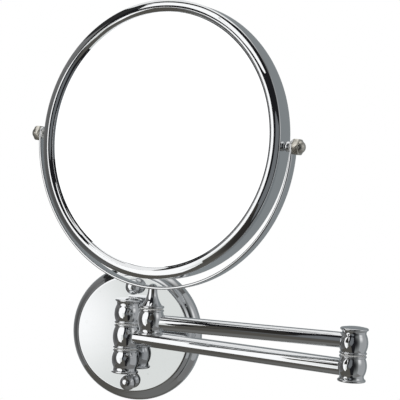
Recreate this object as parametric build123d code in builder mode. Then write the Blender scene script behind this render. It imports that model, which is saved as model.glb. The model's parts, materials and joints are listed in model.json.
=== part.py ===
from build123d import *
import os
from math import atan2, cos, radians, sin, sqrt

# Wall-mounted extendable shaving mirror, in millimetres.
# +X runs right along the wall, +Y runs into the wall and +Z is up.
# The origin is the middle of the wall plate's back, on the wall.

# Pose in which the mirror is drawn, in degrees
lower_arm_angle = 15.5
elbow_opening = 15.5
mirror_swivel = -14.8
mirror_tilt = 3.2

# Clearances
fixed_fit = 0.04
running_fit = 0.05
seat_gap = 0.05
loose_gap = 0.4

# Wall plate
plate_depth = 11.0
plate_wall = 1.2
plate_edge = 1.6
flank_width = 5.6
flank_swell = 1.3
face_margin = 0.8
edge_round = 2.1
edge_drop = 1.1
groove_width = 0.8
groove_depth = 2.2

# Wall bracket and the backing plate, both hidden in the wall plate
bracket_sheet = 2.0
bracket_width = 18.0
bracket_bar = 62.0
bracket_lip = 5.0
wall_hole_spacing = 44.0
wall_hole_radius = 2.4
backing_sheet = 2.0
backing_width = 20.0
backing_margin = 3.8

# Ball-headed screws that hold the wall plate to its bracket
ball_radius = 6.2
ball_reach = 8.0
ball_collar_radius = 4.2
ball_collar_height = 1.4
ball_shank_radius = 2.5
ball_shank_past = 1.5

# Wall column and the screws that hold it to the plate
column_stand_off = 14.8
boss_radius = 4.5
column_screw_radius = 2.0
column_screw_grip = 8.0
column_screw_head_radius = 3.8
column_screw_head = 2.2

# Turned barrels of the column, the elbow and the stem
column_barrel_radius = 10.2
elbow_barrel_radius = 9.6
stem_barrel_radius = 9.1
barrel_height = 18.4
stem_height = 18.8
joint_gap = 0.6
washer_inset = 0.2
ring_height = 1.8
ring_bead = 0.8
barrel_swell = 1.3
hub_swell = 1.5
cove_cut = 0.3
cove_height = 2.4
flange_reach = 0.3
flange_height = 1.8
crown_height = 1.0

# Bolts on which the barrels turn
bolt_radius = 3.0
bolt_head_radius = 4.6
bolt_head_height = 3.0
bolt_grip = 13.0
bush_wall = 1.0
cap_spigot = 1.5

# Arm tubes
lower_arm_length = 190.0
upper_arm_length = 148.0
lower_tube_radius = 6.0
upper_tube_radius = 5.5
tube_wall = 1.2
socket_wall = 1.5

# Spindle that carries the yoke on the stem
spindle_radius = 4.0
spindle_tip_radius = 2.8
spindle_neck_radius = 3.3
spindle_neck_height = 11.8
spindle_flare = 4.1
spindle_foot_height = 2.0
stem_nut_radius = 5.2
stem_nut_height = 2.6
stem_plug_height = 1.6

# Yoke
yoke_gap = 5.5
yoke_sheet = 2.0
yoke_width = 8.0
yoke_rise = 5.0
yoke_screw_radius = 2.0
yoke_screw_grip = 8.0
yoke_screw_head_radius = 3.2
yoke_screw_head = 1.6

# Mirror drum
drum_radius = 100.0
drum_wall = 1.2
rim_width = 5.9
rim_rise = 2.4
rim_round = 1.0
bezel_width = 2.6
bezel_set_back = 0.1
bezel_fall = 2.2
bezel_crown = 0.12
bezel_lip = 1.0
bezel_flange = 1.0
bezel_skirt = 1.2
glass_cover = 2.1
plain_glass = 4.0
magnifier_glass = 2.4
magnifier_curve = 1600.0
board_sheet = 2.0
board_gap = 0.7
spacer_width = 3.6

# Tilt pivots
stud_radius = 2.5
stud_head_radius = 3.4
stud_head_height = 2.0
stud_past_yoke = 5.5
collar_radius = 3.8
tilt_washer_sheet = 0.5
nut_across_flats = 10.6
nut_hex_height = 4.4
nut_dome_radius = 4.4
nut_dome_rise = 3.2
nut_dome_step = 0.3
nut_chamfer = 0.6


def heading_vector(heading):
    """Level unit vector, turned from +X by a heading in degrees."""
    return Vector(cos(radians(heading)), sin(radians(heading)), 0)


def level(spot, height):
    """The same spot at another height."""
    return Vector(spot.X, spot.Y, height)


def upright_plane(spot, heading=0.0):
    """Drawing plane through a spot: its x runs along the heading and its y runs up."""
    along = heading_vector(heading)
    return Plane(origin=spot, x_dir=along, z_dir=along.cross(Vector(0, 0, 1)))


def upright_axis(spot):
    """Vertical axis through a spot."""
    return Axis(spot, (0, 0, 1))


def save(piece, name):
    """Label a finished piece and write it to its own file."""
    piece.part.label = name
    export_step(piece.part, f"parts/{name}.step")


os.makedirs("parts", exist_ok=True)

# Heights along the barrels, from the middle of each
barrel_pitch = barrel_height + joint_gap
barrel_half = barrel_height / 2
stem_half = stem_height / 2
washer_sheet = joint_gap - 2 * seat_gap
head_seat = barrel_half - flange_height - cap_spigot - seat_gap - bolt_head_height
head_room = bolt_head_radius + loose_gap
bush_radius = bolt_radius + running_fit + bush_wall
socket_floor = max(bush_radius + fixed_fit, spindle_radius + running_fit) + socket_wall

# Sizes across the yoke and up to the middle of the mirror
yoke_inside = drum_radius + yoke_gap
yoke_outside = yoke_inside + yoke_sheet
foot_bottom = stem_half + joint_gap
foot_top = foot_bottom + spindle_foot_height
neck_top = foot_top + spindle_neck_height
mirror_height = neck_top + seat_gap + yoke_outside

# Places of the column, the elbow, the stem and the mirror
lower_heading = -lower_arm_angle
upper_heading = lower_heading + 180 + elbow_opening
column_spot = Vector(0, -plate_depth - column_stand_off, 0)
elbow_spot = column_spot + heading_vector(lower_heading) * lower_arm_length
elbow_top_spot = level(elbow_spot, barrel_pitch)
stem_spot = elbow_top_spot + heading_vector(upper_heading) * upper_arm_length
mirror_spot = level(stem_spot, barrel_pitch + mirror_height)
mirror_side = heading_vector(mirror_swivel)
mirror_back = Vector(
    -sin(radians(mirror_swivel)) * cos(radians(mirror_tilt)),
    cos(radians(mirror_swivel)) * cos(radians(mirror_tilt)),
    -sin(radians(mirror_tilt)),
)

# Turning planes: x is the distance from the axis, or runs along the pivots
plate_plane = Plane(origin=(0, 0, 0), x_dir=(1, 0, 0), z_dir=(0, 0, -1))
drum_plane = Plane(origin=mirror_spot, x_dir=mirror_side, z_dir=mirror_side.cross(mirror_back))
drum_axis = Axis(mirror_spot, mirror_back)
pivot_axis = Axis(mirror_spot, mirror_side)
pivot_plane = Plane(origin=mirror_spot, x_dir=mirror_back, z_dir=mirror_side)

# Depths inside the wall plate, measured out from the wall
plate_inside = plate_depth - plate_wall
screw_seat = plate_inside - backing_sheet
lip_front = plate_inside - loose_gap
lip_back = lip_front - bracket_sheet
bracket_step = barrel_pitch + column_screw_head_radius + backing_margin + loose_gap + bracket_sheet
ball_spread = bracket_step + ball_reach
lip_end = ball_spread + bracket_lip

# Outline of the wall plate
edge_start = ball_spread + ball_radius + face_margin
face_radius = edge_start + edge_round
groove_radius = face_radius + groove_width
groove_floor = plate_depth - groove_depth
plate_radius = groove_radius + flank_width
flank_drop = groove_floor - plate_edge
flank_chord = sqrt(flank_width**2 + flank_drop**2)
flank_normal = (flank_drop / flank_chord, flank_width / flank_chord)


def flank_point(share, inset):
    """Point on the plate's flank: share 0 is at the groove, 1 at the wall, and the inset goes inwards."""
    swell = 4 * share * (1 - share) * flank_swell - inset
    return (
        groove_radius + share * flank_width + swell * flank_normal[0],
        groove_floor - share * flank_drop + swell * flank_normal[1],
    )


# Wall plate: a pressed dish with a flat face, a rounded edge, a groove and a swelling flank
with BuildPart() as wall_plate:
    with BuildSketch(plate_plane):
        with BuildLine():
            Polyline((0, plate_inside), (0, plate_depth), (edge_start, plate_depth))
            TangentArc((edge_start, plate_depth), (face_radius, plate_depth - edge_drop), tangent=(1, 0))
            Line((face_radius, plate_depth - edge_drop), flank_point(0, 0))
            ThreePointArc(flank_point(0, 0), flank_point(0.5, 0), flank_point(1, 0))
            Polyline(
                flank_point(1, 0), (plate_radius, 0), (plate_radius - plate_wall, 0),
                flank_point(1, plate_wall))
            ThreePointArc(
                flank_point(1, plate_wall), flank_point(0.5, plate_wall), flank_point(0, plate_wall))
            Polyline(flank_point(0, plate_wall), (edge_start, plate_inside), (0, plate_inside))
        make_face()
    revolve(axis=Axis((0, 0, 0), (0, -1, 0)))
    with BuildSketch(Plane.XZ):
        with Locations((0, ball_spread), (0, -ball_spread)):
            Circle(ball_shank_radius + running_fit)
        with Locations((0, barrel_pitch), (0, -barrel_pitch)):
            Circle(column_screw_radius + running_fit)
    extrude(amount=plate_depth, mode=Mode.SUBTRACT)
save(wall_plate, "wall_plate")

# Wall bracket: a bar screwed to the wall, with stepped ends that take the ball-headed screws
with BuildPart() as wall_bracket:
    with BuildSketch(Plane.YZ):
        for end in (1, -1):
            with BuildLine():
                Polyline(
                    (0, 0), (0, end * bracket_step), (-lip_back, end * bracket_step),
                    (-lip_back, end * lip_end), (-lip_front, end * lip_end),
                    (-lip_front, end * (bracket_step - bracket_sheet)),
                    (-bracket_sheet, end * (bracket_step - bracket_sheet)), (-bracket_sheet, 0), close=True)
            make_face()
    extrude(amount=bracket_width / 2, both=True)
    with BuildSketch(Plane.XZ):
        SlotOverall(bracket_bar, bracket_width)
    extrude(amount=bracket_sheet)
    with BuildSketch(Plane.XZ):
        with GridLocations(wall_hole_spacing, 0, 2, 1):
            Circle(wall_hole_radius)
        with Locations((0, ball_spread), (0, -ball_spread)):
            Circle(ball_shank_radius + fixed_fit)
    extrude(amount=plate_depth, mode=Mode.SUBTRACT)
save(wall_bracket, "wall_bracket")

# Backing plate: stiffens the face where the column is screwed on
with BuildPart() as backing_plate:
    with BuildSketch(Plane.XZ.offset(screw_seat)):
        Rectangle(backing_width, 2 * (bracket_step - bracket_sheet - loose_gap))
        with Locations((0, barrel_pitch), (0, -barrel_pitch)):
            Circle(column_screw_radius + running_fit, mode=Mode.SUBTRACT)
    extrude(amount=backing_sheet)
save(backing_plate, "backing_plate")

# Ball-headed screws, and the column's screws from behind, above and below the middle
ball_foot = plate_depth + ball_collar_height
ball_centre = ball_foot + sqrt(ball_radius**2 - ball_collar_radius**2)
for end, place in ((1, "upper"), (-1, "lower")):
    with BuildPart() as ball_screw:
        with BuildSketch(plate_plane.offset(-end * ball_spread)):
            with BuildLine():
                Polyline(
                    (0, ball_centre + ball_radius), (0, lip_back - ball_shank_past),
                    (ball_shank_radius, lip_back - ball_shank_past), (ball_shank_radius, plate_depth),
                    (ball_collar_radius, plate_depth), (ball_collar_radius, ball_foot))
                ThreePointArc(
                    (ball_collar_radius, ball_foot), (ball_radius, ball_centre),
                    (0, ball_centre + ball_radius))
            make_face()
        revolve(axis=Axis((0, 0, end * ball_spread), (0, -1, 0)))
    save(ball_screw, f"ball_screw_{place}")

    with BuildPart() as column_screw:
        with BuildSketch(Plane.XZ.offset(screw_seat - column_screw_head)):
            with Locations((0, end * barrel_pitch)):
                Circle(column_screw_head_radius)
        extrude(amount=column_screw_head)
        with BuildSketch(Plane.XZ.offset(screw_seat)):
            with Locations((0, end * barrel_pitch)):
                Circle(column_screw_radius)
        extrude(amount=plate_depth + column_screw_grip - screw_seat)
    save(column_screw, f"column_screw_{place}")


def ring_line(up, girth, half):
    """Joint face of a barrel from the axis outwards, and the ring beside it; up is -1 upside down."""
    waist = girth - ring_bead
    Line((0, -up * half), (waist, -up * half))
    ThreePointArc(
        (waist, -up * half), (girth, up * (ring_height / 2 - half)), (waist, up * (ring_height - half)))


def barrel_line(up, girth, half):
    """Side of a barrel: joint face, ring, bulge and cove, up to the flange's underside."""
    waist = girth - ring_bead
    cove = waist - cove_cut
    neck = half - flange_height - cove_height
    lip = girth + flange_reach - flange_height / 2
    ring_line(up, girth, half)
    ThreePointArc(
        (waist, up * (ring_height - half)), (waist + barrel_swell, up * (ring_height - half + neck) / 2),
        (cove, up * neck))
    ThreePointArc(
        (cove, up * neck), ((3 * cove + lip) / 4, up * (neck + 2 * cove_height / 3)),
        (lip, up * (half - flange_height)))


def flange_line(up, girth, half):
    """Rounded edge of a flange, from its underside to its outer face."""
    lip = girth + flange_reach - flange_height / 2
    ThreePointArc(
        (lip, up * (half - flange_height)), (girth + flange_reach, up * (half - flange_height / 2)),
        (lip, up * half))


def dome_point(rim, crown):
    """Point half-way out on a dome centred on its axis, as radius and height above the rim."""
    ball = (rim**2 + crown**2) / (2 * crown)
    return rim / 2, sqrt(ball**2 - rim**2 / 4) - ball + crown


def dome_line(up, girth, half):
    """Low dome over a flange, from its edge to the axis."""
    lip = girth + flange_reach - flange_height / 2
    radius, height = dome_point(lip, crown_height)
    ThreePointArc((lip, up * half), (radius, up * (half + height)), (0, up * (half + crown_height)))


def capped_barrel_line(girth):
    """Upper barrel of a joint, flat on top for its cap."""
    barrel_line(1, girth, barrel_half)
    Polyline(
        (girth + flange_reach - flange_height / 2, barrel_half - flange_height),
        (0, barrel_half - flange_height), (0, -barrel_half))


def footed_barrel_line(girth):
    """Lower barrel of a joint, with its own flange and a domed underside."""
    barrel_line(-1, girth, barrel_half)
    flange_line(-1, girth, barrel_half)
    dome_line(-1, girth, barrel_half)
    Line((0, -barrel_half - crown_height), (0, barrel_half))


def cap_line(girth):
    """Domed cap: a spigot for the barrel's open top, the flange's edge and the dome."""
    seat = barrel_half - flange_height
    Polyline(
        (0, seat - cap_spigot), (head_room - fixed_fit, seat - cap_spigot), (head_room - fixed_fit, seat),
        (girth + flange_reach - flange_height / 2, seat))
    flange_line(1, girth, barrel_half)
    dome_line(1, girth, barrel_half)
    Line((0, barrel_half + crown_height), (0, seat - cap_spigot))


def bolt_line(bottom, seat):
    """Headed bolt, from its tip to the top of its head."""
    Polyline(
        (0, bottom), (bolt_radius, bottom), (bolt_radius, seat), (bolt_head_radius, seat),
        (bolt_head_radius, seat + bolt_head_height), (0, seat + bolt_head_height), close=True)


def cut_upright(spot, bottom, top, radius):
    """Round hole on an upright axis between two heights."""
    with BuildSketch(Plane(origin=level(spot, bottom))) as hole:
        Circle(radius)
    extrude(hole.sketch, amount=top - bottom, mode=Mode.SUBTRACT)


def cut_socket(spot, heading, tube_radius):
    """Blind hole in a barrel's side that takes the end of a tube."""
    with BuildSketch(Plane(origin=spot, z_dir=heading_vector(heading)).offset(socket_floor)) as mouth:
        Circle(tube_radius + fixed_fit)
    extrude(mouth.sketch, amount=column_barrel_radius + hub_swell, mode=Mode.SUBTRACT)


def add_boss(height):
    """Round neck from a column barrel to the wall plate, with a tapped hole for its screw."""
    with BuildSketch(Plane.XZ.offset(plate_depth)) as neck:
        with Locations((0, height)):
            Circle(boss_radius)
    extrude(neck.sketch, amount=column_stand_off)
    with BuildSketch(Plane.XZ.offset(plate_depth)) as hole:
        with Locations((0, height)):
            Circle(column_screw_radius + fixed_fit)
    extrude(hole.sketch, amount=column_screw_grip + loose_gap, mode=Mode.SUBTRACT)


def washer(spot, bottom, outside, inside):
    """Flat friction washer on an upright axis."""
    with BuildPart() as disc:
        with BuildSketch(Plane(origin=level(spot, bottom))):
            Circle(outside)
            Circle(inside, mode=Mode.SUBTRACT)
        extrude(amount=washer_sheet)
    return disc


def bush(spot, bottom, top):
    """Plain sleeve between a barrel and the bolt that it turns on."""
    with BuildPart() as sleeve:
        with BuildSketch(Plane(origin=level(spot, bottom))):
            Circle(bush_radius)
            Circle(bolt_radius + running_fit, mode=Mode.SUBTRACT)
        extrude(amount=top - bottom)
    return sleeve


def arm_tube(start, heading, length, radius):
    """Tube between the sockets of two barrels."""
    with BuildPart() as tube:
        with BuildSketch(Plane(origin=start, z_dir=heading_vector(heading)).offset(socket_floor)):
            Circle(radius)
            Circle(radius - tube_wall, mode=Mode.SUBTRACT)
        extrude(amount=length - 2 * socket_floor)
    return tube


# Column: the upper barrel, open on top for the bolt's head
with BuildPart() as column_upper_barrel:
    with BuildSketch(upright_plane(level(column_spot, barrel_pitch))):
        with BuildLine():
            capped_barrel_line(column_barrel_radius)
        make_face()
    revolve(axis=upright_axis(column_spot))
    add_boss(barrel_pitch)
    cut_upright(column_spot, barrel_pitch - barrel_half, barrel_pitch + head_seat, bolt_radius + fixed_fit)
    cut_upright(column_spot, barrel_pitch + head_seat, barrel_pitch + barrel_half, head_room)
save(column_upper_barrel, "column_upper_barrel")

# Column: the lower barrel, tapped for the bolt
with BuildPart() as column_lower_barrel:
    with BuildSketch(upright_plane(level(column_spot, -barrel_pitch))):
        with BuildLine():
            footed_barrel_line(column_barrel_radius)
        make_face()
    revolve(axis=upright_axis(column_spot))
    add_boss(-barrel_pitch)
    cut_upright(column_spot, barrel_half - barrel_pitch - bolt_grip, barrel_half - barrel_pitch,
                bolt_radius + fixed_fit)
save(column_lower_barrel, "column_lower_barrel")

with BuildPart() as column_bolt:
    with BuildSketch(upright_plane(column_spot)):
        with BuildLine():
            bolt_line(barrel_half - barrel_pitch - bolt_grip + loose_gap, barrel_pitch + head_seat)
        make_face()
    revolve(axis=upright_axis(column_spot))
save(column_bolt, "column_bolt")

with BuildPart() as column_cap:
    with BuildSketch(upright_plane(level(column_spot, barrel_pitch))):
        with BuildLine():
            cap_line(column_barrel_radius)
        make_face()
    revolve(axis=upright_axis(column_spot))
save(column_cap, "column_cap")

column_washer_radius = column_barrel_radius - ring_bead - washer_inset
for bottom, place in ((barrel_half + seat_gap, "upper"), (seat_gap - joint_gap - barrel_half, "lower")):
    save(washer(column_spot, bottom, column_washer_radius, bolt_radius + running_fit),
         f"column_washer_{place}")

# Lower arm: the hub between the column's barrels, its bush and the tube
with BuildPart() as lower_arm_hub:
    with BuildSketch(upright_plane(column_spot, lower_heading)):
        with BuildLine():
            ring_line(1, column_barrel_radius, barrel_half)
            ThreePointArc(
                (column_barrel_radius - ring_bead, ring_height - barrel_half),
                (column_barrel_radius - ring_bead + hub_swell, 0),
                (column_barrel_radius - ring_bead, barrel_half - ring_height))
            ring_line(-1, column_barrel_radius, barrel_half)
            Line((0, -barrel_half), (0, barrel_half))
        make_face()
    revolve(axis=upright_axis(column_spot))
    cut_upright(column_spot, -barrel_half, barrel_half, bush_radius + fixed_fit)
    cut_socket(column_spot, lower_heading, lower_tube_radius)
save(lower_arm_hub, "lower_arm_hub")
save(bush(column_spot, -barrel_half, barrel_half), "hub_bush")
save(arm_tube(column_spot, lower_heading, lower_arm_length, lower_tube_radius), "lower_arm_tube")

# Elbow: the lower barrel belongs to the lower arm and holds the bolt
with BuildPart() as elbow_lower_barrel:
    with BuildSketch(upright_plane(level(elbow_spot, 0), lower_heading)):
        with BuildLine():
            footed_barrel_line(elbow_barrel_radius)
        make_face()
    revolve(axis=upright_axis(elbow_spot))
    cut_upright(elbow_spot, barrel_half - bolt_grip, barrel_half, bolt_radius + fixed_fit)
    cut_socket(elbow_spot, lower_heading + 180, lower_tube_radius)
save(elbow_lower_barrel, "elbow_lower_barrel")

with BuildPart() as elbow_bolt:
    with BuildSketch(upright_plane(elbow_spot, lower_heading)):
        with BuildLine():
            bolt_line(barrel_half - bolt_grip + loose_gap, barrel_pitch + head_seat + seat_gap / 2)
        make_face()
    revolve(axis=upright_axis(elbow_spot))
save(elbow_bolt, "elbow_bolt")

elbow_washer_radius = elbow_barrel_radius - ring_bead - washer_inset
save(washer(elbow_spot, barrel_half + seat_gap, elbow_washer_radius, bolt_radius + running_fit),
     "elbow_washer")

# Elbow: the upper barrel belongs to the upper arm and turns on the bolt
with BuildPart() as elbow_upper_barrel:
    with BuildSketch(upright_plane(elbow_top_spot, upper_heading)):
        with BuildLine():
            capped_barrel_line(elbow_barrel_radius)
        make_face()
    revolve(axis=upright_axis(elbow_spot))
    cut_upright(elbow_spot, barrel_pitch - barrel_half, barrel_pitch + head_seat, bush_radius + fixed_fit)
    cut_upright(elbow_spot, barrel_pitch + head_seat, barrel_pitch + barrel_half, head_room)
    cut_socket(elbow_top_spot, upper_heading, upper_tube_radius)
save(elbow_upper_barrel, "elbow_upper_barrel")

with BuildPart() as elbow_cap:
    with BuildSketch(upright_plane(elbow_top_spot, upper_heading)):
        with BuildLine():
            cap_line(elbow_barrel_radius)
        make_face()
    revolve(axis=upright_axis(elbow_spot))
save(elbow_cap, "elbow_cap")
save(bush(elbow_spot, barrel_pitch - barrel_half, barrel_pitch + head_seat), "elbow_bush")
save(arm_tube(elbow_top_spot, upper_heading, upper_arm_length, upper_tube_radius), "upper_arm_tube")

# Stem barrel at the free end of the upper arm, hollowed below for the spindle's nut
nut_room = stem_nut_radius + loose_gap
nut_bottom = stem_plug_height + loose_gap - stem_half
nut_top = nut_bottom + stem_nut_height
stem_seat = nut_top + seat_gap
with BuildPart() as stem_barrel:
    with BuildSketch(upright_plane(stem_spot, upper_heading)):
        with BuildLine():
            barrel_line(-1, stem_barrel_radius, stem_half)
            flange_line(-1, stem_barrel_radius, stem_half)
            Polyline(
                (stem_barrel_radius + flange_reach - flange_height / 2, -stem_half), (0, -stem_half),
                (0, stem_half))
        make_face()
    revolve(axis=upright_axis(stem_spot))
    cut_upright(stem_spot, barrel_pitch - stem_half, barrel_pitch + stem_half, spindle_radius + running_fit)
    cut_upright(stem_spot, barrel_pitch - stem_half, barrel_pitch + stem_seat, nut_room)
    cut_socket(stem_spot, upper_heading + 180, upper_tube_radius)
save(stem_barrel, "stem_barrel")

with BuildPart() as stem_plug:
    with BuildSketch(Plane(origin=level(stem_spot, barrel_pitch - stem_half))):
        Circle(nut_room - fixed_fit)
    extrude(amount=stem_plug_height)
save(stem_plug, "stem_plug")

# Spindle: a trumpet-shaped neck on a foot ring, and a shaft that turns in the stem barrel
foot_lip = stem_barrel_radius - spindle_foot_height / 2
with BuildPart() as spindle:
    with BuildSketch(upright_plane(stem_spot, mirror_swivel)):
        with BuildLine():
            Polyline(
                (0, nut_bottom), (spindle_tip_radius, nut_bottom), (spindle_tip_radius, nut_top),
                (spindle_radius, nut_top), (spindle_radius, foot_bottom), (foot_lip, foot_bottom))
            ThreePointArc(
                (foot_lip, foot_bottom), (stem_barrel_radius, foot_bottom + spindle_foot_height / 2),
                (foot_lip, foot_top))
            Line((foot_lip, foot_top), (spindle_neck_radius + spindle_flare, foot_top))
            TangentArc(
                (spindle_neck_radius, neck_top), (spindle_neck_radius + spindle_flare, foot_top),
                tangent=(0, -1))
            Polyline((spindle_neck_radius, neck_top), (0, neck_top), (0, nut_bottom))
        make_face()
    revolve(axis=upright_axis(stem_spot))
    cut_upright(stem_spot, barrel_pitch + neck_top - yoke_screw_grip - loose_gap, barrel_pitch + neck_top,
                yoke_screw_radius + fixed_fit)
save(spindle, "spindle")

with BuildPart() as stem_nut:
    with BuildSketch(Plane(origin=level(stem_spot, barrel_pitch + nut_bottom))):
        RegularPolygon(stem_nut_radius, 6)
        Circle(spindle_tip_radius + fixed_fit, mode=Mode.SUBTRACT)
    extrude(amount=stem_nut_height)
save(stem_nut, "stem_nut")
save(washer(stem_spot, barrel_pitch + stem_half + seat_gap, stem_barrel_radius - ring_bead - washer_inset,
            spindle_radius + running_fit), "stem_washer")

# Yoke: a flat strip bent to a U round the drum, with round ends at the pivots
with BuildPart() as yoke:
    with BuildSketch(upright_plane(mirror_spot, mirror_swivel)):
        with BuildLine():
            Line((-yoke_outside, yoke_rise), (-yoke_outside, 0))
            ThreePointArc((-yoke_outside, 0), (0, -yoke_outside), (yoke_outside, 0))
            Polyline((yoke_outside, 0), (yoke_outside, yoke_rise), (yoke_inside, yoke_rise), (yoke_inside, 0))
            ThreePointArc((yoke_inside, 0), (0, -yoke_inside), (-yoke_inside, 0))
            Polyline((-yoke_inside, 0), (-yoke_inside, yoke_rise), (-yoke_outside, yoke_rise))
        make_face()
    extrude(amount=yoke_width / 2, both=True)
    end_corners = edges().filter_by(Axis((0, 0, 0), mirror_side)).group_by(Axis.Z)[-1]
    fillet(end_corners, radius=min(yoke_width / 2, yoke_rise) - seat_gap)
    with BuildSketch(pivot_plane):
        Circle(stud_radius + running_fit)
    extrude(amount=yoke_outside, both=True, mode=Mode.SUBTRACT)
    cut_upright(stem_spot, barrel_pitch + neck_top, barrel_pitch + mirror_height - yoke_inside + yoke_sheet,
                yoke_screw_radius + running_fit)
save(yoke, "yoke")

# Screw that holds the yoke on the spindle, with a low domed head inside the U
screw_sit = mirror_height - sqrt(yoke_inside**2 - yoke_screw_head_radius**2) + seat_gap
head_point = dome_point(yoke_screw_head_radius, yoke_screw_head)
with BuildPart() as yoke_screw:
    with BuildSketch(upright_plane(stem_spot, mirror_swivel)):
        with BuildLine():
            Polyline(
                (0, screw_sit + yoke_screw_head), (0, neck_top - yoke_screw_grip),
                (yoke_screw_radius, neck_top - yoke_screw_grip), (yoke_screw_radius, screw_sit),
                (yoke_screw_head_radius, screw_sit))
            ThreePointArc(
                (yoke_screw_head_radius, screw_sit), (head_point[0], screw_sit + head_point[1]),
                (0, screw_sit + yoke_screw_head))
        make_face()
    revolve(axis=upright_axis(stem_spot))
save(yoke_screw, "yoke_screw")

# Radii of the drum, from the outside in
band_inside = drum_radius - drum_wall
rim_inside = drum_radius - rim_width
bezel_outside = rim_inside - fixed_fit
bezel_inside = bezel_outside - bezel_width
glass_radius = bezel_inside + glass_cover
skirt_inside = glass_radius + fixed_fit


def glass_hollow(radius):
    """How far the magnifying glass rises from its middle at a distance from its axis."""
    return magnifier_curve - sqrt(magnifier_curve**2 - radius**2)


# Depths along the drum's axis, from its middle: the stack of glass and board sets the drum's depth
hollow = glass_hollow(glass_radius)
stack = plain_glass + seat_gap + board_sheet + board_gap + hollow + magnifier_glass
glass_front = stack / 2 + seat_gap
bezel_foot = glass_front + bezel_lip
rim_foot = bezel_foot + seat_gap
drum_half = rim_foot + rim_rise
board_front = plain_glass + seat_gap - stack / 2
board_back = board_front + board_sheet
magnifier_rim = stack / 2 - magnifier_glass

# Rims: a small round off the drum's wall runs smoothly into a large one over the top
rim_reach = rim_width - rim_round
rim_ball = (rim_reach**2 + rim_rise**2 - rim_round**2) / (2 * (rim_rise - rim_round))
rim_turn = atan2(rim_ball - rim_rise, rim_reach)
turn_radius = drum_radius - rim_round + rim_round * cos(rim_turn)
turn_depth = rim_foot + rim_round * sin(rim_turn)

# Drum band: a ring whose two edges are rolled inwards to soft rims
with BuildPart() as drum_band:
    with BuildSketch(drum_plane):
        with BuildLine():
            Line((drum_radius, -rim_foot), (drum_radius, rim_foot))
            Line((band_inside, -rim_foot), (band_inside, rim_foot))
            for face in (-1, 1):
                wall_round = TangentArc(
                    (drum_radius, face * rim_foot), (turn_radius, face * turn_depth), tangent=(0, face))
                TangentArc(wall_round @ 1, (rim_inside, face * drum_half), tangent=wall_round % 1)
                Polyline(
                    (rim_inside, face * drum_half), (rim_inside, face * rim_foot),
                    (band_inside, face * rim_foot))
        make_face()
    revolve(axis=drum_axis)
    with BuildSketch(pivot_plane):
        Circle(stud_radius + fixed_fit)
    extrude(amount=drum_radius, both=True, mode=Mode.SUBTRACT)
save(drum_band, "drum_band")

# Bezels: a sloping ring that leads down to each glass, held behind the drum's rolled edge
bezel_crest = drum_half - bezel_set_back
slope_foot = bezel_crest - bezel_fall
slope_middle = (bezel_outside - bezel_width / 2 - bezel_crown, bezel_crest - bezel_fall / 2 + bezel_crown)
for face, place in ((-1, "front"), (1, "rear")):
    skirt_end = face * (glass_front - magnifier_glass)
    flange_end = face * (bezel_foot - bezel_flange)
    with BuildPart() as bezel:
        with BuildSketch(drum_plane):
            with BuildLine():
                Line((bezel_outside, face * bezel_foot), (bezel_outside, face * bezel_crest))
                ThreePointArc(
                    (bezel_outside, face * bezel_crest), (slope_middle[0], face * slope_middle[1]),
                    (bezel_inside, face * slope_foot))
                Polyline(
                    (bezel_inside, face * slope_foot), (bezel_inside, face * glass_front),
                    (skirt_inside, face * glass_front), (skirt_inside, skirt_end),
                    (skirt_inside + bezel_skirt, skirt_end), (skirt_inside + bezel_skirt, flange_end),
                    (band_inside - fixed_fit, flange_end), (band_inside - fixed_fit, face * bezel_foot),
                    (bezel_outside, face * bezel_foot))
            make_face()
        revolve(axis=drum_axis)
    save(bezel, f"{place}_bezel")


def drum_disc(inside, outside, front, back):
    """Flat disc or ring on the drum's axis."""
    with BuildPart() as disc:
        with BuildSketch(drum_plane):
            with Locations(((inside + outside) / 2, (front + back) / 2)):
                Rectangle(outside - inside, back - front)
        revolve(axis=drum_axis)
    return disc


# Plain glass at the front, the board behind it, and the ring that bears on the curved glass
save(drum_disc(0, glass_radius, -stack / 2, plain_glass - stack / 2), "plain_mirror")
save(drum_disc(0, glass_radius, board_front, board_back), "backing_board")
spacer_back = magnifier_rim - hollow + glass_hollow(glass_radius - spacer_width) - seat_gap
save(drum_disc(glass_radius - spacer_width, glass_radius, board_back + seat_gap, spacer_back), "glass_spacer")

# Magnifying glass at the back: a curved sheet, hollow on the outside
with BuildPart() as magnifying_mirror:
    with BuildSketch(drum_plane):
        with BuildLine():
            for rim in (stack / 2, magnifier_rim):
                ThreePointArc(
                    (0, rim - hollow), (glass_radius / 2, rim - hollow + glass_hollow(glass_radius / 2)),
                    (glass_radius, rim))
            Line((glass_radius, stack / 2), (glass_radius, magnifier_rim))
            Line((0, stack / 2 - hollow), (0, magnifier_rim - hollow))
        make_face()
    revolve(axis=drum_axis)
save(magnifying_mirror, "magnifying_mirror")

# Distances along the tilt pivots from the middle of the mirror
head_outside = sqrt(band_inside**2 - stud_head_radius**2) - seat_gap
head_inside = head_outside - stud_head_height
washer_outside = sqrt(yoke_inside**2 - collar_radius**2) - seat_gap
washer_inside = washer_outside - tilt_washer_sheet
washer_bore = stud_radius + running_fit
collar_start = drum_radius + seat_gap
collar_end = washer_inside - seat_gap
collar_bore = stud_radius + fixed_fit
nut_start = yoke_outside + seat_gap
hex_end = nut_start + nut_hex_height
dome_start = hex_end + nut_dome_step
dome_end = dome_start + nut_dome_rise
dome_middle = dome_point(nut_dome_radius, nut_dome_rise)
nut_corner = nut_across_flats / sqrt(3)


def pivot_line(side, *points):
    """Outline on one side of the drum, from pairs of distance along the pivot and radius."""
    Polyline(*[(side * along, radius) for along, radius in points], close=True)


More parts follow.
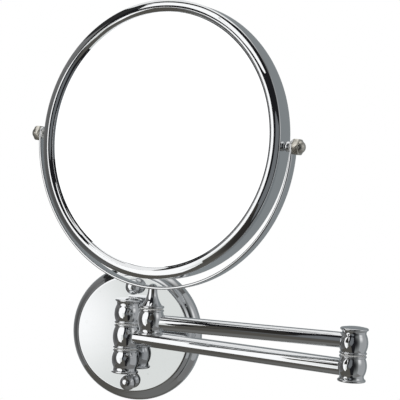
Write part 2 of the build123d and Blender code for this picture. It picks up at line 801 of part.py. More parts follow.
# Tilt pivots: a stud through the drum's wall, a collar, a friction washer and a cap nut on each side
for side, place in ((-1, "left"), (1, "right")):
    with BuildPart() as pivot_stud:
        with BuildSketch(drum_plane):
            with BuildLine():
                pivot_line(
                    side, (head_inside, 0), (head_inside, stud_head_radius),
                    (head_outside, stud_head_radius), (head_outside, stud_radius),
                    (yoke_outside + stud_past_yoke, stud_radius), (yoke_outside + stud_past_yoke, 0))
            make_face()
        revolve(axis=pivot_axis)
    save(pivot_stud, f"pivot_stud_{place}")

    with BuildPart() as pivot_collar:
        with BuildSketch(drum_plane):
            with BuildLine():
                pivot_line(
                    side, (collar_start, collar_bore), (collar_start, collar_radius),
                    (collar_end, collar_radius), (collar_end, collar_bore))
            make_face()
        revolve(axis=pivot_axis)
    save(pivot_collar, f"pivot_collar_{place}")

    with BuildPart() as tilt_washer:
        with BuildSketch(drum_plane):
            with BuildLine():
                pivot_line(
                    side, (washer_inside, washer_bore), (washer_inside, collar_radius),
                    (washer_outside, collar_radius), (washer_outside, washer_bore))
            make_face()
        revolve(axis=pivot_axis)
    save(tilt_washer, f"tilt_washer_{place}")

    with BuildPart() as cap_nut:
        with BuildSketch(pivot_plane.offset(side * nut_start)):
            RegularPolygon(nut_across_flats / 2, 6, major_radius=False)
        extrude(amount=side * nut_hex_height)
        with BuildSketch(drum_plane):
            with BuildLine():
                pivot_line(
                    side, (nut_start, 0), (nut_start, nut_corner), (hex_end - nut_chamfer, nut_corner),
                    (hex_end, nut_corner - nut_chamfer), (hex_end, 0))
            make_face()
        revolve(axis=pivot_axis, mode=Mode.INTERSECT)
        with BuildSketch(drum_plane):
            with BuildLine():
                Polyline(
                    (side * dome_end, 0), (side * hex_end, 0),
                    (side * hex_end, nut_dome_radius), (side * dome_start, nut_dome_radius))
                ThreePointArc(
                    (side * dome_start, nut_dome_radius),
                    (side * (dome_start + dome_middle[1]), dome_middle[0]), (side * dome_end, 0))
            make_face()
        revolve(axis=pivot_axis)
        with BuildSketch(pivot_plane.offset(side * nut_start)):
            Circle(stud_radius + fixed_fit)
        extrude(amount=side * (stud_past_yoke + loose_gap), mode=Mode.SUBTRACT)
    save(cap_nut, f"cap_nut_{place}")
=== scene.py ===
# %% [markdown]
# # A folding shaving mirror
#
# The object is a two-sided mirror in a U-shaped yoke, on two tubes that fold over each other and swing from
# a round wall plate. Almost all of it is bright chrome, so nearly everything that the eye sees is a
# reflection. The solids of the model are already the right size, and this lesson dresses them: it turns
# smooth skins of the same sizes on a lathe made of mesh operators, gives them finishes, and builds a small
# studio whose light and dark panels the chrome can mirror.

# %% Load the frame
import json
from math import asin, atan2, ceil, cos, pi, radians, sin, sqrt

import bmesh
import bpy
from mathutils import Matrix, Vector


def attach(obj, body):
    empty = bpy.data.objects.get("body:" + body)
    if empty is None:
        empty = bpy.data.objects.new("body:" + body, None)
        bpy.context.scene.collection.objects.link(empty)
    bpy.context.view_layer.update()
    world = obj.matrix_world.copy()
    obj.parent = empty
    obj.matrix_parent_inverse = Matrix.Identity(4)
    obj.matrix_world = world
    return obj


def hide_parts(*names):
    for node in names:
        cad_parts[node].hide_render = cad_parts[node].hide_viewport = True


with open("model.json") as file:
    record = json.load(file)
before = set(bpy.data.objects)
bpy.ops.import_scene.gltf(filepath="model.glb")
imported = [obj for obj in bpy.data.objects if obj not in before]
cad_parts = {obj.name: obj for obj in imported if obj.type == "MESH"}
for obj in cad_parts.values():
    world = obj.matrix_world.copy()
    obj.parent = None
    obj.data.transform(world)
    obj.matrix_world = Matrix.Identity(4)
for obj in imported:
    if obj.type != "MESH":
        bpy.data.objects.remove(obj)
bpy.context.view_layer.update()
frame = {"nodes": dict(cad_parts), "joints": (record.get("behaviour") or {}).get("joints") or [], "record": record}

# %% [markdown]
# ## Where things are
#
# Each joint of the record is a place and an axis on the real mirror: the column on the wall, the elbow, the
# stem under the yoke and the pivots beside the glass. Reading the places from the joints keeps the skins on
# the solids, which is safer than typing the same numbers twice. The drum's own axis follows from the
# pivots and from how far the mirror leans back.

# %% Places and directions
joints = {joint["name"]: joint for joint in frame["joints"]}
up = Vector((0, 0, 1))
column_spot = Vector(joints["lower_arm_swing"]["pos_m"])
elbow_spot = Vector(joints["elbow_fold"]["pos_m"])
stem_spot = Vector(joints["mirror_swivel"]["pos_m"])
mirror_spot = Vector(joints["mirror_tilt"]["pos_m"])
mirror_side = Vector(joints["mirror_tilt"]["axis"]).normalized()
level_back = up.cross(mirror_side)
mirror_tilt = radians(3.2)
mirror_back = level_back * cos(mirror_tilt) - up * sin(mirror_tilt)
mirror_up = mirror_side.cross(mirror_back)
out_from_wall = Vector((0, -1, 0))
for label, spot in (("column", column_spot), ("elbow", elbow_spot), ("stem", stem_spot),
                    ("mirror", mirror_spot)):
    print(label, "at", [round(value, 4) for value in spot])

# %% [markdown]
# ## Polished metal that has been handled
#
# Chrome in a bathroom is never quite clean: it carries faint wiping marks, dried drops with a pale ring and
# a slightly uneven lacquer-like skin. They could be painted into images, but procedural noise stays sharp
# at any distance. Every metal here needs the same marks, so they become one node group that puts out a
# roughness, a film mask and a height, and each finish uses it with its own amounts.

# %% Node helpers
mix_start, mix_end, mix_result = 6, 7, 2  # a Mix node's colour sockets, which share their names with others


def wire(tree, source, socket_out, target, socket_in):
    """Join two sockets of a node tree."""
    tree.links.new(source.outputs[socket_out], target.inputs[socket_in])


def add_node(tree, kind, **values):
    """Add a node, with its input sockets set by name (an underscore stands for a space)."""
    node = tree.nodes.new(kind)
    for key, value in values.items():
        node.inputs[key.replace("_", " ")].default_value = value
    return node


def add_math(tree, operation, first, second, clamp=False):
    """Math node on two inputs, each a number or an output socket."""
    node = tree.nodes.new("ShaderNodeMath")
    node.operation = operation
    node.use_clamp = clamp
    for place, value in enumerate((first, second)):
        if isinstance(value, (int, float)):
            node.inputs[place].default_value = value
        else:
            tree.links.new(value, node.inputs[place])
    return node.outputs[0]


def add_range(tree, value, low, high):
    """Map Range node that makes a smooth step from 0 at low to 1 at high."""
    node = tree.nodes.new("ShaderNodeMapRange")
    node.interpolation_type = "SMOOTHSTEP"
    node.inputs["From Min"].default_value = low
    node.inputs["From Max"].default_value = high
    tree.links.new(value, node.inputs["Value"])
    return node.outputs["Result"]


def add_tint(tree, factor, start, end):
    """Mix node that goes from one colour to another with a factor from an output socket."""
    node = tree.nodes.new("ShaderNodeMix")
    node.data_type = "RGBA"
    node.inputs[mix_start].default_value = (*start, 1)
    node.inputs[mix_end].default_value = (*end, 1)
    tree.links.new(factor, node.inputs["Factor"])
    return node.outputs[mix_result]


print("node helpers ready")

# %% Group of wiping marks and dried drops
wipe_start, wipe_full = 0.45, 0.8
drop_reach, drop_rim, drop_core, drop_rarity = 0.26, 0.2, 0.1, 0.9
film_roughness = 0.3

handled = bpy.data.node_groups.new("handled_surface", "ShaderNodeTree")
for socket_name, socket_type in (("Vector", "NodeSocketVector"), ("Polish", "NodeSocketFloat"),
                                 ("Wiping", "NodeSocketFloat"), ("Drops", "NodeSocketFloat")):
    handled.interface.new_socket(socket_name, in_out="INPUT", socket_type=socket_type)
for socket_name in ("Roughness", "Film", "Height"):
    handled.interface.new_socket(socket_name, in_out="OUTPUT", socket_type="NodeSocketFloat")
group_in = handled.nodes.new("NodeGroupInput")
group_out = handled.nodes.new("NodeGroupOutput")

stretch = add_node(handled, "ShaderNodeMapping", Scale=(0.35, 1.0, 1.0), Rotation=(0.0, 0.5, 0.3))
wire(handled, group_in, "Vector", stretch, "Vector")
wipe_noise = add_node(handled, "ShaderNodeTexNoise", Scale=70.0, Detail=5.0, Roughness=0.6, Distortion=0.8)
wire(handled, stretch, "Vector", wipe_noise, "Vector")
wipe_mask = add_range(handled, wipe_noise.outputs["Fac"], wipe_start, wipe_full)
drop_cells = add_node(handled, "ShaderNodeTexVoronoi", Scale=210.0)
wire(handled, group_in, "Vector", drop_cells, "Vector")
drop_disc = add_range(handled, drop_cells.outputs["Distance"], drop_reach, drop_rim)
drop_heart = add_range(handled, drop_cells.outputs["Distance"], drop_rim, drop_core)
drop_ring = add_math(handled, "SUBTRACT", drop_disc, drop_heart, clamp=True)
drop_pick = handled.nodes.new("ShaderNodeSeparateColor")
wire(handled, drop_cells, "Color", drop_pick, "Color")
drop_chosen = add_math(handled, "GREATER_THAN", drop_pick.outputs["Red"], drop_rarity)
drop_mask = add_math(handled, "MULTIPLY", drop_ring, drop_chosen)

wiping = add_math(handled, "MULTIPLY", wipe_mask, group_in.outputs["Wiping"])
drops = add_math(handled, "MULTIPLY", drop_mask, group_in.outputs["Drops"])
film = add_math(handled, "ADD", wiping, drops, clamp=True)
film_dulling = add_math(handled, "MULTIPLY", film, film_roughness)
rough = add_math(handled, "ADD", group_in.outputs["Polish"], film_dulling, clamp=True)
handled.links.new(film, group_out.inputs["Film"])
handled.links.new(rough, group_out.inputs["Roughness"])
handled.links.new(add_math(handled, "ADD", wipe_noise.outputs["Fac"], drops), group_out.inputs["Height"])
print("group", handled.name, "with", len(handled.nodes), "nodes")

# %% [markdown]
# ## Chrome, nickel and silvered glass
#
# Chrome plate is a cool grey metal, the cap nuts beside the drum look a little warmer, like nickel, and the
# glasses are silvered on the back, so a clear skin lies over a very bright metal. All three are a metallic
# Principled shader. Film and drops dull the colour a little and roughen it, and a very low bump lets long
# reflections waver, as they do on plated brass.

# %% Shining finishes
waver_depth = 0.0002


def fresh_material(name):
    """New material, with its node tree and its Principled shader."""
    material = bpy.data.materials.new(name)
    material.use_nodes = True
    return material, material.node_tree, material.node_tree.nodes["Principled BSDF"]


def shining(name, clean, dulled, polish, wiping, drops, waver):
    """Metal finish with a clean and a dulled colour and the shared wiping marks."""
    material, tree, shader = fresh_material(name)
    shader.inputs["Metallic"].default_value = 1.0
    spots = tree.nodes.new("ShaderNodeTexCoord")
    marks = tree.nodes.new("ShaderNodeGroup")
    marks.node_tree = handled
    for socket_name, amount in (("Polish", polish), ("Wiping", wiping), ("Drops", drops)):
        marks.inputs[socket_name].default_value = amount
    wire(tree, spots, "Object", marks, "Vector")
    tree.links.new(add_tint(tree, marks.outputs["Film"], clean, dulled), shader.inputs["Base Color"])
    wire(tree, marks, "Roughness", shader, "Roughness")
    bump = add_node(tree, "ShaderNodeBump", Strength=waver, Distance=waver_depth)
    wire(tree, marks, "Height", bump, "Height")
    wire(tree, bump, "Normal", shader, "Normal")
    return material


chrome = shining("chrome_plate", clean=(0.80, 0.81, 0.82), dulled=(0.66, 0.67, 0.67),
                 polish=0.035, wiping=0.12, drops=0.3, waver=0.008)
nickel = shining("nickel_plate", clean=(0.72, 0.69, 0.62), dulled=(0.55, 0.52, 0.45),
                 polish=0.28, wiping=0.3, drops=0.4, waver=0.05)
silvering = shining("silvered_glass", clean=(0.93, 0.94, 0.95), dulled=(0.86, 0.87, 0.88),
                    polish=0.01, wiping=0.05, drops=0.15, waver=0.004)
clear_skin = silvering.node_tree.nodes["Principled BSDF"]
clear_skin.inputs["Coat Weight"].default_value = 1.0
clear_skin.inputs["Coat Roughness"].default_value = 0.01
print("shining finishes:", chrome.name, nickel.name, silvering.name)

# %% [markdown]
# ## Plain steel, nylon and board
#
# Behind and between the chrome sit the pieces that nobody polishes: the rolled steel bracket and bolts, the
# milky nylon washers and bushes, and the brown fibre board between the glasses. Steel gets fine lines along
# its rolling direction, nylon a soft mottling, and the board a felt of light and dark fibres. Each is one
# noise, stretched or not, that drives colour, roughness and bump together.

# %% Quiet finishes
tone_start, tone_full, tone_polish = 0.3, 0.7, -0.15
relief_depth = 0.0003


def quiet(name, light, dark, grain, stretched, roughness, metal, relief):
    """Unpolished finish: one noise, stretched by an amount per axis, mixes two colours."""
    material, tree, shader = fresh_material(name)
    shader.inputs["Metallic"].default_value = metal
    spots = tree.nodes.new("ShaderNodeTexCoord")
    direction = add_node(tree, "ShaderNodeMapping", Scale=stretched)
    wire(tree, spots, "Object", direction, "Vector")
    noise = add_node(tree, "ShaderNodeTexNoise", Scale=grain, Detail=6.0, Roughness=0.65)
    wire(tree, direction, "Vector", noise, "Vector")
    tone = add_range(tree, noise.outputs["Fac"], tone_start, tone_full)
    tree.links.new(add_tint(tree, tone, dark, light), shader.inputs["Base Color"])
    dull = add_math(tree, "MULTIPLY_ADD", tone, tone_polish)
    dull.node.inputs[2].default_value = roughness
    tree.links.new(dull, shader.inputs["Roughness"])
    bump = add_node(tree, "ShaderNodeBump", Strength=relief, Distance=relief_depth)
    tree.links.new(tone, bump.inputs["Height"])
    wire(tree, bump, "Normal", shader, "Normal")
    return material


steel = quiet("rolled_steel", light=(0.64, 0.65, 0.66), dark=(0.50, 0.51, 0.52), grain=900.0,
              stretched=(1.0, 0.3, 0.06), roughness=0.45, metal=1.0, relief=0.08)
nylon = quiet("milky_nylon", light=(0.87, 0.87, 0.85), dark=(0.80, 0.80, 0.77), grain=400.0,
              stretched=(1.0, 1.0, 1.0), roughness=0.55, metal=0.0, relief=0.05)
board = quiet("fibre_board", light=(0.50, 0.39, 0.27), dark=(0.30, 0.22, 0.14), grain=700.0,
              stretched=(1.0, 1.0, 0.3), roughness=0.9, metal=0.0, relief=0.4)
finish_of_slot = {"chrome": chrome, "nickel": nickel, "steel": steel, "nylon": nylon, "mirror": silvering,
                  "board": board}
for subpart in frame["record"]["subparts"]:
    slots = frame["nodes"][subpart["node"]].data.materials
    slots.clear()
    slots.append(finish_of_slot[subpart["material_slot"]])

# %% [markdown]
# ## A lathe made of operators
#
# The column, the elbow, the stem and the drum are all turned or spun pieces. On a lathe the maker follows an
# outline with a tool, and a mesh can be made the same way: a single vertex is extruded along straight
# strokes, spun round a centre for round strokes, and then the whole outline is spun once round the piece's
# axis. Three points fix each round stroke, as they do on a drawing. Outlines are in millimetres, as
# radius and height, and the placing matrix scales them to metres.

# %% Pen strokes
millimetre = 0.001
arc_step, fewest_steps = radians(5), 6


def line_to(bm, tip, point):
    """Extrude the outline's tip to a point, given as radius and height."""
    tip = bmesh.ops.extrude_vert_indiv(bm, verts=[tip])["verts"][0]
    tip.co = (point[0], 0, point[1])
    return tip


def arc_to(bm, tip, through, end):
    """Spin the outline's tip along the circle through three points."""
    start = Vector((tip.co.x, tip.co.z))
    near = Vector(through) - start
    far = Vector(end) - start
    turn = 2 * near.cross(far)
    centre = start + Vector((
        (far.y * near.length_squared - near.y * far.length_squared) / turn,
        (near.x * far.length_squared - far.x * near.length_squared) / turn))
    first, middle, last = (
        atan2(spot.y - centre.y, spot.x - centre.x) for spot in (start, Vector(through), Vector(end)))
    sweep = (last - first) % (2 * pi)
    if (middle - first) % (2 * pi) > sweep:
        sweep -= 2 * pi
    spun = bmesh.ops.spin(
        bm, geom=[tip], cent=(centre.x, 0, centre.y), axis=(0, -1, 0), angle=sweep,
        steps=max(fewest_steps, ceil(abs(sweep) / arc_step)))
    tip = [item for item in spun["geom_last"] if isinstance(item, bmesh.types.BMVert)][0]
    tip.co = (end[0], 0, end[1])
    return tip


print("pen strokes ready, one step per", round(arc_step * 180 / pi), "degrees of arc")

# %% Lathe, placing and dressing
seam = 0.0005
small_turn, tube_turn, usual_turn, wide_turn, drum_turn = 64, 96, 128, 192, 256


def standing(spot, axis=up, across=Vector((1, 0, 0))):
    """Matrix that puts a piece drawn round Z, in millimetres, on a spot with Z along the axis."""
    along = axis.normalized()
    side = (across - along * across.dot(along)).normalized()
    turn = Matrix((side, along.cross(side), along)).transposed().to_4x4()
    return Matrix.Translation(spot) @ turn @ Matrix.Scale(millimetre, 4)


def placed(bm, place):
    """Close the seams of a mesh, turn its faces outwards and move it to its place."""
    bmesh.ops.remove_doubles(bm, verts=bm.verts[:], dist=seam)
    bmesh.ops.recalc_face_normals(bm, faces=bm.faces[:])
    bmesh.ops.transform(bm, matrix=place, verts=bm.verts[:])
    return bm


def lathe(place, start, *strokes, steps=usual_turn):
    """Mesh of an outline spun round Z: a stroke is a point, or a pair of points for an arc."""
    bm = bmesh.new()
    tip = bm.verts.new((start[0], 0, start[1]))
    for stroke in strokes:
        if isinstance(stroke[0], tuple):
            tip = arc_to(bm, tip, *stroke)
        else:
            tip = line_to(bm, tip, stroke)
    bmesh.ops.spin(bm, geom=bm.verts[:] + bm.edges[:], cent=(0, 0, 0), axis=(0, 0, 1), angle=2 * pi,
                   steps=steps, use_merge=True)
    return placed(bm, place)


def show(name, data):
    """Object with this data, linked to the scene."""
    item = bpy.data.objects.new(name, data)
    bpy.context.scene.collection.objects.link(item)
    return item


def dress(name, body, slot, shells, *nodes, crease=35):
    """Make one object of finished shells, which rides on a body and stands for CAD nodes."""
    mesh = bpy.data.meshes.new(name)
    whole = bmesh.new()
    for shell in shells:
        shell.to_mesh(mesh)
        shell.free()
        whole.from_mesh(mesh)
    whole.to_mesh(mesh)
    whole.free()
    mesh.shade_smooth()
    mesh.set_sharp_from_angle(angle=radians(crease))
    mesh.materials.append(finish_of_slot[slot])
    piece = show(name, mesh)
    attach(piece, body)
    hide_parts(*nodes)
    print(name, len(mesh.polygons), "faces")


print("lathe ready, with", small_turn, "to", drum_turn, "steps a turn")

# %% [markdown]
# ## The wall plate and its ball screws
#
# The plate is a dish pressed from thin sheet: a flat polished face with a rounded edge, a groove, and a flank
# that swells a little on its way to the wall. Its whole section is one closed outline, so the lathe makes the
# outside and the hollow back in one go. Two screws with ball heads hold it, and they are turned on the same
# lathe with its axis pointing out of the wall.

# %% Wall plate
plate_depth, plate_inside = 11.0, 9.8
edge_start, edge_round, edge_drop = 44.0, 2.1, 1.1
groove_radius, groove_floor = 46.9, 8.8
plate_radius, plate_edge = 52.5, 1.6
flank_swell, plate_wall = 1.3, 1.2
flank_run = Vector((plate_radius - groove_radius, plate_edge - groove_floor))
flank_out = Vector((-flank_run.y, flank_run.x)).normalized()
edge_ball = (edge_round**2 + edge_drop**2) / (2 * edge_drop)
edge_half = asin(edge_round / edge_ball) / 2
edge_middle = (edge_start + edge_ball * sin(edge_half), plate_depth - edge_ball * (1 - cos(edge_half)))


def flank(share, inset):
    """Point on the plate's flank: share 0 is at the groove, 1 at the wall, and the inset goes inwards."""
    spot = Vector((groove_radius, groove_floor)) + flank_run * share
    return tuple(spot + flank_out * (4 * share * (1 - share) * flank_swell - inset))


plate_shell = lathe(
    standing(Vector((0, 0, 0)), out_from_wall),
    (0, plate_inside), (0, plate_depth), (edge_start, plate_depth),
    (edge_middle, (edge_start + edge_round, plate_depth - edge_drop)), flank(0, 0),
    (flank(0.5, 0), flank(1, 0)), (plate_radius, 0), (plate_radius - plate_wall, 0), flank(1, plate_wall),
    (flank(0.5, plate_wall), flank(0, plate_wall)), (edge_start, plate_inside), (0, plate_inside),
    steps=wide_turn)
dress("wall_plate_skin", "wall_unit", "chrome", [plate_shell], "wall_plate")

# %% Ball screws
ball_spread = 0.037
ball_radius, ball_collar, ball_foot = 6.2, 4.2, 12.4
ball_centre = ball_foot + sqrt(ball_radius**2 - ball_collar**2)
shank_radius, shank_end = 2.5, 5.9
for end, place in ((1, "upper"), (-1, "lower")):
    ball_shell = lathe(
        standing(Vector((0, 0, end * ball_spread)), out_from_wall),
        (0, shank_end), (shank_radius, shank_end), (shank_radius, plate_depth), (ball_collar, plate_depth),
        (ball_collar, ball_foot), ((ball_radius, ball_centre), (0, ball_centre + ball_radius)))
    dress(f"ball_screw_{place}_skin", "wall_unit", "chrome", [ball_shell], f"ball_screw_{place}")

# %% [markdown]
# ## Turned barrels
#
# Every joint is a stack of little barrels. Each has a ring where it meets its neighbour, a swelling body and
# a cove that runs out to a flange, and the outer ends carry a low domed cap. The same few strokes describe
# them all, upright or upside down, so they are written once and given a girth. A boss joins each fixed
# barrel to the plate: it is a second shell in the same object. The stem's barrel is the only one with a bore,
# because the spindle that turns in it has a skin of its own.

# %% Strokes of a barrel
ring_height, ring_bead = 1.8, 0.8
barrel_swell, hub_swell = 1.3, 1.5
cove_cut, cove_height = 0.3, 2.4
flange_reach, flange_height, crown = 0.3, 1.8, 1.0
column_girth, elbow_girth, stem_girth = 10.2, 9.6, 9.1
barrel_half, stem_half = 9.2, 9.4
barrel_pitch = 19.0 * millimetre


def lip_of(girth):
    """Radius at which a flange's rounded edge starts and ends."""
    return girth + flange_reach - flange_height / 2


def dome(radius, base, rise, way=1):
    """Arc from the edge of a low dome to its top on the axis; way is -1 for one that hangs down."""
    ball = (radius**2 + rise**2) / (2 * rise)
    shoulder = base + rise - ball + sqrt(ball**2 - radius**2 / 4)
    return (radius / 2, way * shoulder), (0, way * (base + rise))


def ring(way, girth, half):
    """Joint face and the ring beside it; way is -1 for an upside-down barrel."""
    waist = girth - ring_bead
    return [(0, -way * half), (waist, -way * half),
            ((girth, way * (ring_height / 2 - half)), (waist, way * (ring_height - half)))]


def barrel(way, girth, half):
    """Ring, swelling body and cove, up to the underside of the flange."""
    waist = girth - ring_bead
    cove = waist - cove_cut
    neck = half - flange_height - cove_height
    lip = lip_of(girth)
    return ring(way, girth, half) + [
        ((waist + barrel_swell, way * (ring_height - half + neck) / 2), (cove, way * neck)),
        (((3 * cove + lip) / 4, way * (neck + 2 * cove_height / 3)), (lip, way * (half - flange_height)))]


def flange(way, girth, half):
    """Rounded edge of a flange and the low dome over it, to the axis."""
    lip = lip_of(girth)
    return [((girth + flange_reach, way * (half - flange_height / 2)), (lip, way * half)),
            dome(lip, half, crown, way)]


print("barrel girths:", column_girth, elbow_girth, stem_girth, "mm")

# %% Column on the wall
boss_radius, boss_length = 4.5, 14.8
flange_seat = barrel_half - flange_height
upper_place = standing(column_spot + up * barrel_pitch)
lower_place = standing(column_spot - up * barrel_pitch)


def boss(height):
    """Round neck from the plate to a column barrel."""
    boss_end = plate_depth + boss_length
    return lathe(standing(Vector((0, 0, height)), out_from_wall), (0, plate_depth), (boss_radius, plate_depth),
                 (boss_radius, boss_end), (0, boss_end), steps=small_turn)


def cap(place, girth):
    """Flange and dome of their own, on the seat at the top of an upright barrel."""
    return lathe(place, (0, flange_seat), (lip_of(girth), flange_seat), *flange(1, girth, barrel_half))


dress("column_upper_barrel_skin", "wall_unit", "chrome",
      [lathe(upper_place, *barrel(1, column_girth, barrel_half), (0, flange_seat)), boss(barrel_pitch)],
      "column_upper_barrel")
dress("column_cap_skin", "wall_unit", "chrome", [cap(upper_place, column_girth)], "column_cap")
dress("column_lower_barrel_skin", "wall_unit", "chrome",
      [lathe(lower_place, *barrel(-1, column_girth, barrel_half), *flange(-1, column_girth, barrel_half)),
       boss(-barrel_pitch)], "column_lower_barrel")

# %% Hub of the lower arm
hub_waist = column_girth - ring_bead
hub_outline = ring(1, column_girth, barrel_half) + [
    ((hub_waist + hub_swell, 0), (hub_waist, barrel_half - ring_height)),
    ((column_girth, barrel_half - ring_height / 2), (hub_waist, barrel_half)), (0, barrel_half)]
dress("lower_arm_hub_skin", "lower_arm", "chrome", [lathe(standing(column_spot), *hub_outline)],
      "lower_arm_hub")

# %% Elbow barrels and their cap
elbow_low_place = standing(elbow_spot - up * barrel_pitch)
elbow_top_place = standing(elbow_spot)
dress("elbow_lower_barrel_skin", "lower_arm", "chrome",
      [lathe(elbow_low_place, *barrel(-1, elbow_girth, barrel_half), *flange(-1, elbow_girth, barrel_half))],
      "elbow_lower_barrel")
dress("elbow_upper_barrel_skin", "upper_arm", "chrome",
      [lathe(elbow_top_place, *barrel(1, elbow_girth, barrel_half), (0, flange_seat))], "elbow_upper_barrel")
dress("elbow_cap_skin", "upper_arm", "chrome", [cap(elbow_top_place, elbow_girth)], "elbow_cap")

# %% Stem barrel
stem_place, stem_lip = standing(stem_spot), lip_of(stem_girth)
shaft_bore, nut_room, nut_seat = 4.1, 5.6, -4.75
dress("stem_barrel_skin", "upper_arm", "chrome",
      [lathe(stem_place, (shaft_bore, stem_half), *barrel(-1, stem_girth, stem_half)[1:],
             ((stem_girth + flange_reach, flange_height / 2 - stem_half), (stem_lip, -stem_half)),
             (nut_room, -stem_half), (nut_room, nut_seat), (shaft_bore, nut_seat), (shaft_bore, stem_half))],
      "stem_barrel")

# %% [markdown]
# ## The two tubes
#
# The arms are plain drawn tubes whose ends sit in sockets inside the barrels. A cylinder primitive would do
# for the outside, but the lathe also gives the wall its thickness, which shows if an arm is ever taken
# apart. The strokes start and end at the same point, so the shell is closed.

# %% Arm tubes
lower_tube_radius, upper_tube_radius, tube_wall = 6.0, 5.5, 1.2
socket_floor = 5.59


def tube(start, end, radius):
    """Tube between two joints, from socket to socket."""
    reach = (end - start).length / millimetre - socket_floor
    bore = radius - tube_wall
    return lathe(standing(start, end - start, up), (radius, socket_floor), (radius, reach), (bore, reach),
                 (bore, socket_floor), (radius, socket_floor), steps=tube_turn)


dress("lower_arm_tube_skin", "lower_arm", "chrome",
      [tube(column_spot, elbow_spot - up * barrel_pitch, lower_tube_radius)], "lower_arm_tube")
dress("upper_arm_tube_skin", "upper_arm", "chrome", [tube(elbow_spot, stem_spot, upper_tube_radius)],
      "upper_arm_tube")

# %% [markdown]
# ## Spindle, yoke and screw
#
# A trumpet-shaped neck on a small foot ring turns in the stem and carries the yoke. The yoke is a flat strip
# bent to a half circle, with straight ends that are rounded off above the pivots. The strip's section is
# four vertices: spun half a turn it becomes the U, its open ends are extruded upwards and closed, and
# bevels round the ends and break the long sharp edges, which is where real chrome catches the light.

# %% Spindle
shaft_radius, tip_radius, tip_bottom, tip_top = 4.0, 2.8, -7.4, -4.8
foot_bottom, foot_top, foot_round, neck_top = 10.0, 12.0, 1.0, 23.8
foot_inside = stem_girth - foot_round
neck_radius, neck_flare = 3.3, 4.1
neck_height = neck_top - foot_top
flare_ball = (neck_flare**2 + neck_height**2) / (2 * neck_flare)
flare_half = asin(neck_height / flare_ball) / 2
flare_middle = (neck_radius + flare_ball * (1 - cos(flare_half)), neck_top - flare_ball * sin(flare_half))
dress("spindle_skin", "yoke_unit", "chrome",
      [lathe(stem_place, (0, tip_bottom), (tip_radius, tip_bottom), (tip_radius, tip_top),
             (shaft_radius, tip_top), (shaft_radius, foot_bottom), (foot_inside, foot_bottom),
             ((stem_girth, foot_bottom + foot_round), (foot_inside, foot_top)),
             (neck_radius + neck_flare, foot_top), (flare_middle, (neck_radius, neck_top)), (0, neck_top))],
      "spindle")

# %% Yoke
yoke_inside, yoke_outside, yoke_width, yoke_rise = 105.5, 107.5, 8.0, 5.0
yoke_end_round, yoke_edge_round = yoke_width / 2 - 0.05, 0.9
touching, sharp_corner = 0.01, radians(60)


def bevel(bm, geom, offset, segments, affect="EDGES"):
    """Cut or round edges or corners of a mesh."""
    bmesh.ops.bevel(bm, geom=geom, offset=offset, affect=affect, segments=segments, profile=0.5, material=-1)


strip = bmesh.new()
bmesh.ops.create_grid(strip, x_segments=1, y_segments=1, size=1)
bmesh.ops.delete(strip, geom=strip.faces[:], context="FACES_ONLY")
bmesh.ops.scale(strip, vec=((yoke_outside - yoke_inside) / 2, yoke_width / 2, 1), verts=strip.verts[:])
bmesh.ops.translate(strip, vec=((yoke_outside + yoke_inside) / 2, 0, 0), verts=strip.verts[:])
bmesh.ops.spin(strip, geom=strip.verts[:] + strip.edges[:], cent=(0, 0, 0), axis=(0, 1, 0), angle=pi,
               steps=usual_turn)
open_edges = [edge for edge in strip.edges if edge.is_boundary]
raised = bmesh.ops.extrude_edge_only(strip, edges=open_edges)["geom"]
raised_verts = [item for item in raised if isinstance(item, bmesh.types.BMVert)]
bmesh.ops.translate(strip, vec=(0, 0, yoke_rise), verts=raised_verts)
bmesh.ops.holes_fill(strip, edges=[edge for edge in strip.edges if edge.is_boundary])
end_edges = [edge for edge in strip.edges
             if min(vert.co.z for vert in edge.verts) > yoke_rise - touching
             and abs(edge.verts[0].co.y - edge.verts[1].co.y) < touching]
bevel(strip, end_edges, yoke_end_round, segments=8)
bmesh.ops.recalc_face_normals(strip, faces=strip.faces[:])
rim_edges = [edge for edge in strip.edges if edge.calc_face_angle(0) > sharp_corner]
bevel(strip, rim_edges, yoke_edge_round, segments=6)
dress("yoke_skin", "yoke_unit", "chrome", [placed(strip, standing(mirror_spot, up, mirror_side))], "yoke",
      crease=50)

# %% Yoke screw
screw_head, screw_dome = 3.2, 1.6
screw_shank, screw_length, screw_lift = 2.0, 10.0, 0.05
screw_seat = mirror_spot.z / millimetre - sqrt(yoke_inside**2 - screw_head**2) + screw_lift
screw_place = standing(Vector((stem_spot.x, stem_spot.y, screw_seat * millimetre)))
dress("yoke_screw_skin", "yoke_unit", "chrome",
      [lathe(screw_place, (0, -screw_length), (screw_shank, -screw_length), (screw_shank, 0), (screw_head, 0),
             dome(screw_head, 0, screw_dome), steps=small_turn)], "yoke_screw")

# %% [markdown]
# ## The drum
#
# The mirror's drum is a band whose edges are rolled inwards to broad, soft rims. Inside each rim a sloping
# bezel leads down to a glass: a flat one at the front and a hollow-ground, magnifying one at the back. Seen
# from the front, these curves give the fine light and dark lines round the glass, so their outlines are the
# exact ones: a rim is a small arc off the wall and a large one over the top, which meet without a corner.
# The lathe's axis now runs from front to back through the middle of the drum.

# %% Drum band
drum_place = standing(mirror_spot, mirror_back, mirror_side)
drum_radius, band_inside = 100.0, 98.8
rim_width, rim_rise, rim_round = 5.9, 2.4, 1.0
rim_inside = drum_radius - rim_width
glass_radius, hollow_ball = 93.56, 1600.0
hollow = hollow_ball - sqrt(hollow_ball**2 - glass_radius**2)
plain_glass, curved_glass, board_sheet, board_gap, seat_gap = 4.0, 2.4, 2.0, 0.7, 0.05
stack = plain_glass + seat_gap + board_sheet + board_gap + hollow + curved_glass
glass_front, bezel_flange = stack / 2 + seat_gap, 1.0
bezel_foot = glass_front + bezel_flange
rim_foot = bezel_foot + seat_gap
drum_half = rim_foot + rim_rise
rim_ball = ((rim_width - rim_round)**2 + rim_rise**2 - rim_round**2) / (2 * (rim_rise - rim_round))
rim_turn = atan2(rim_ball - rim_rise, rim_width - rim_round)


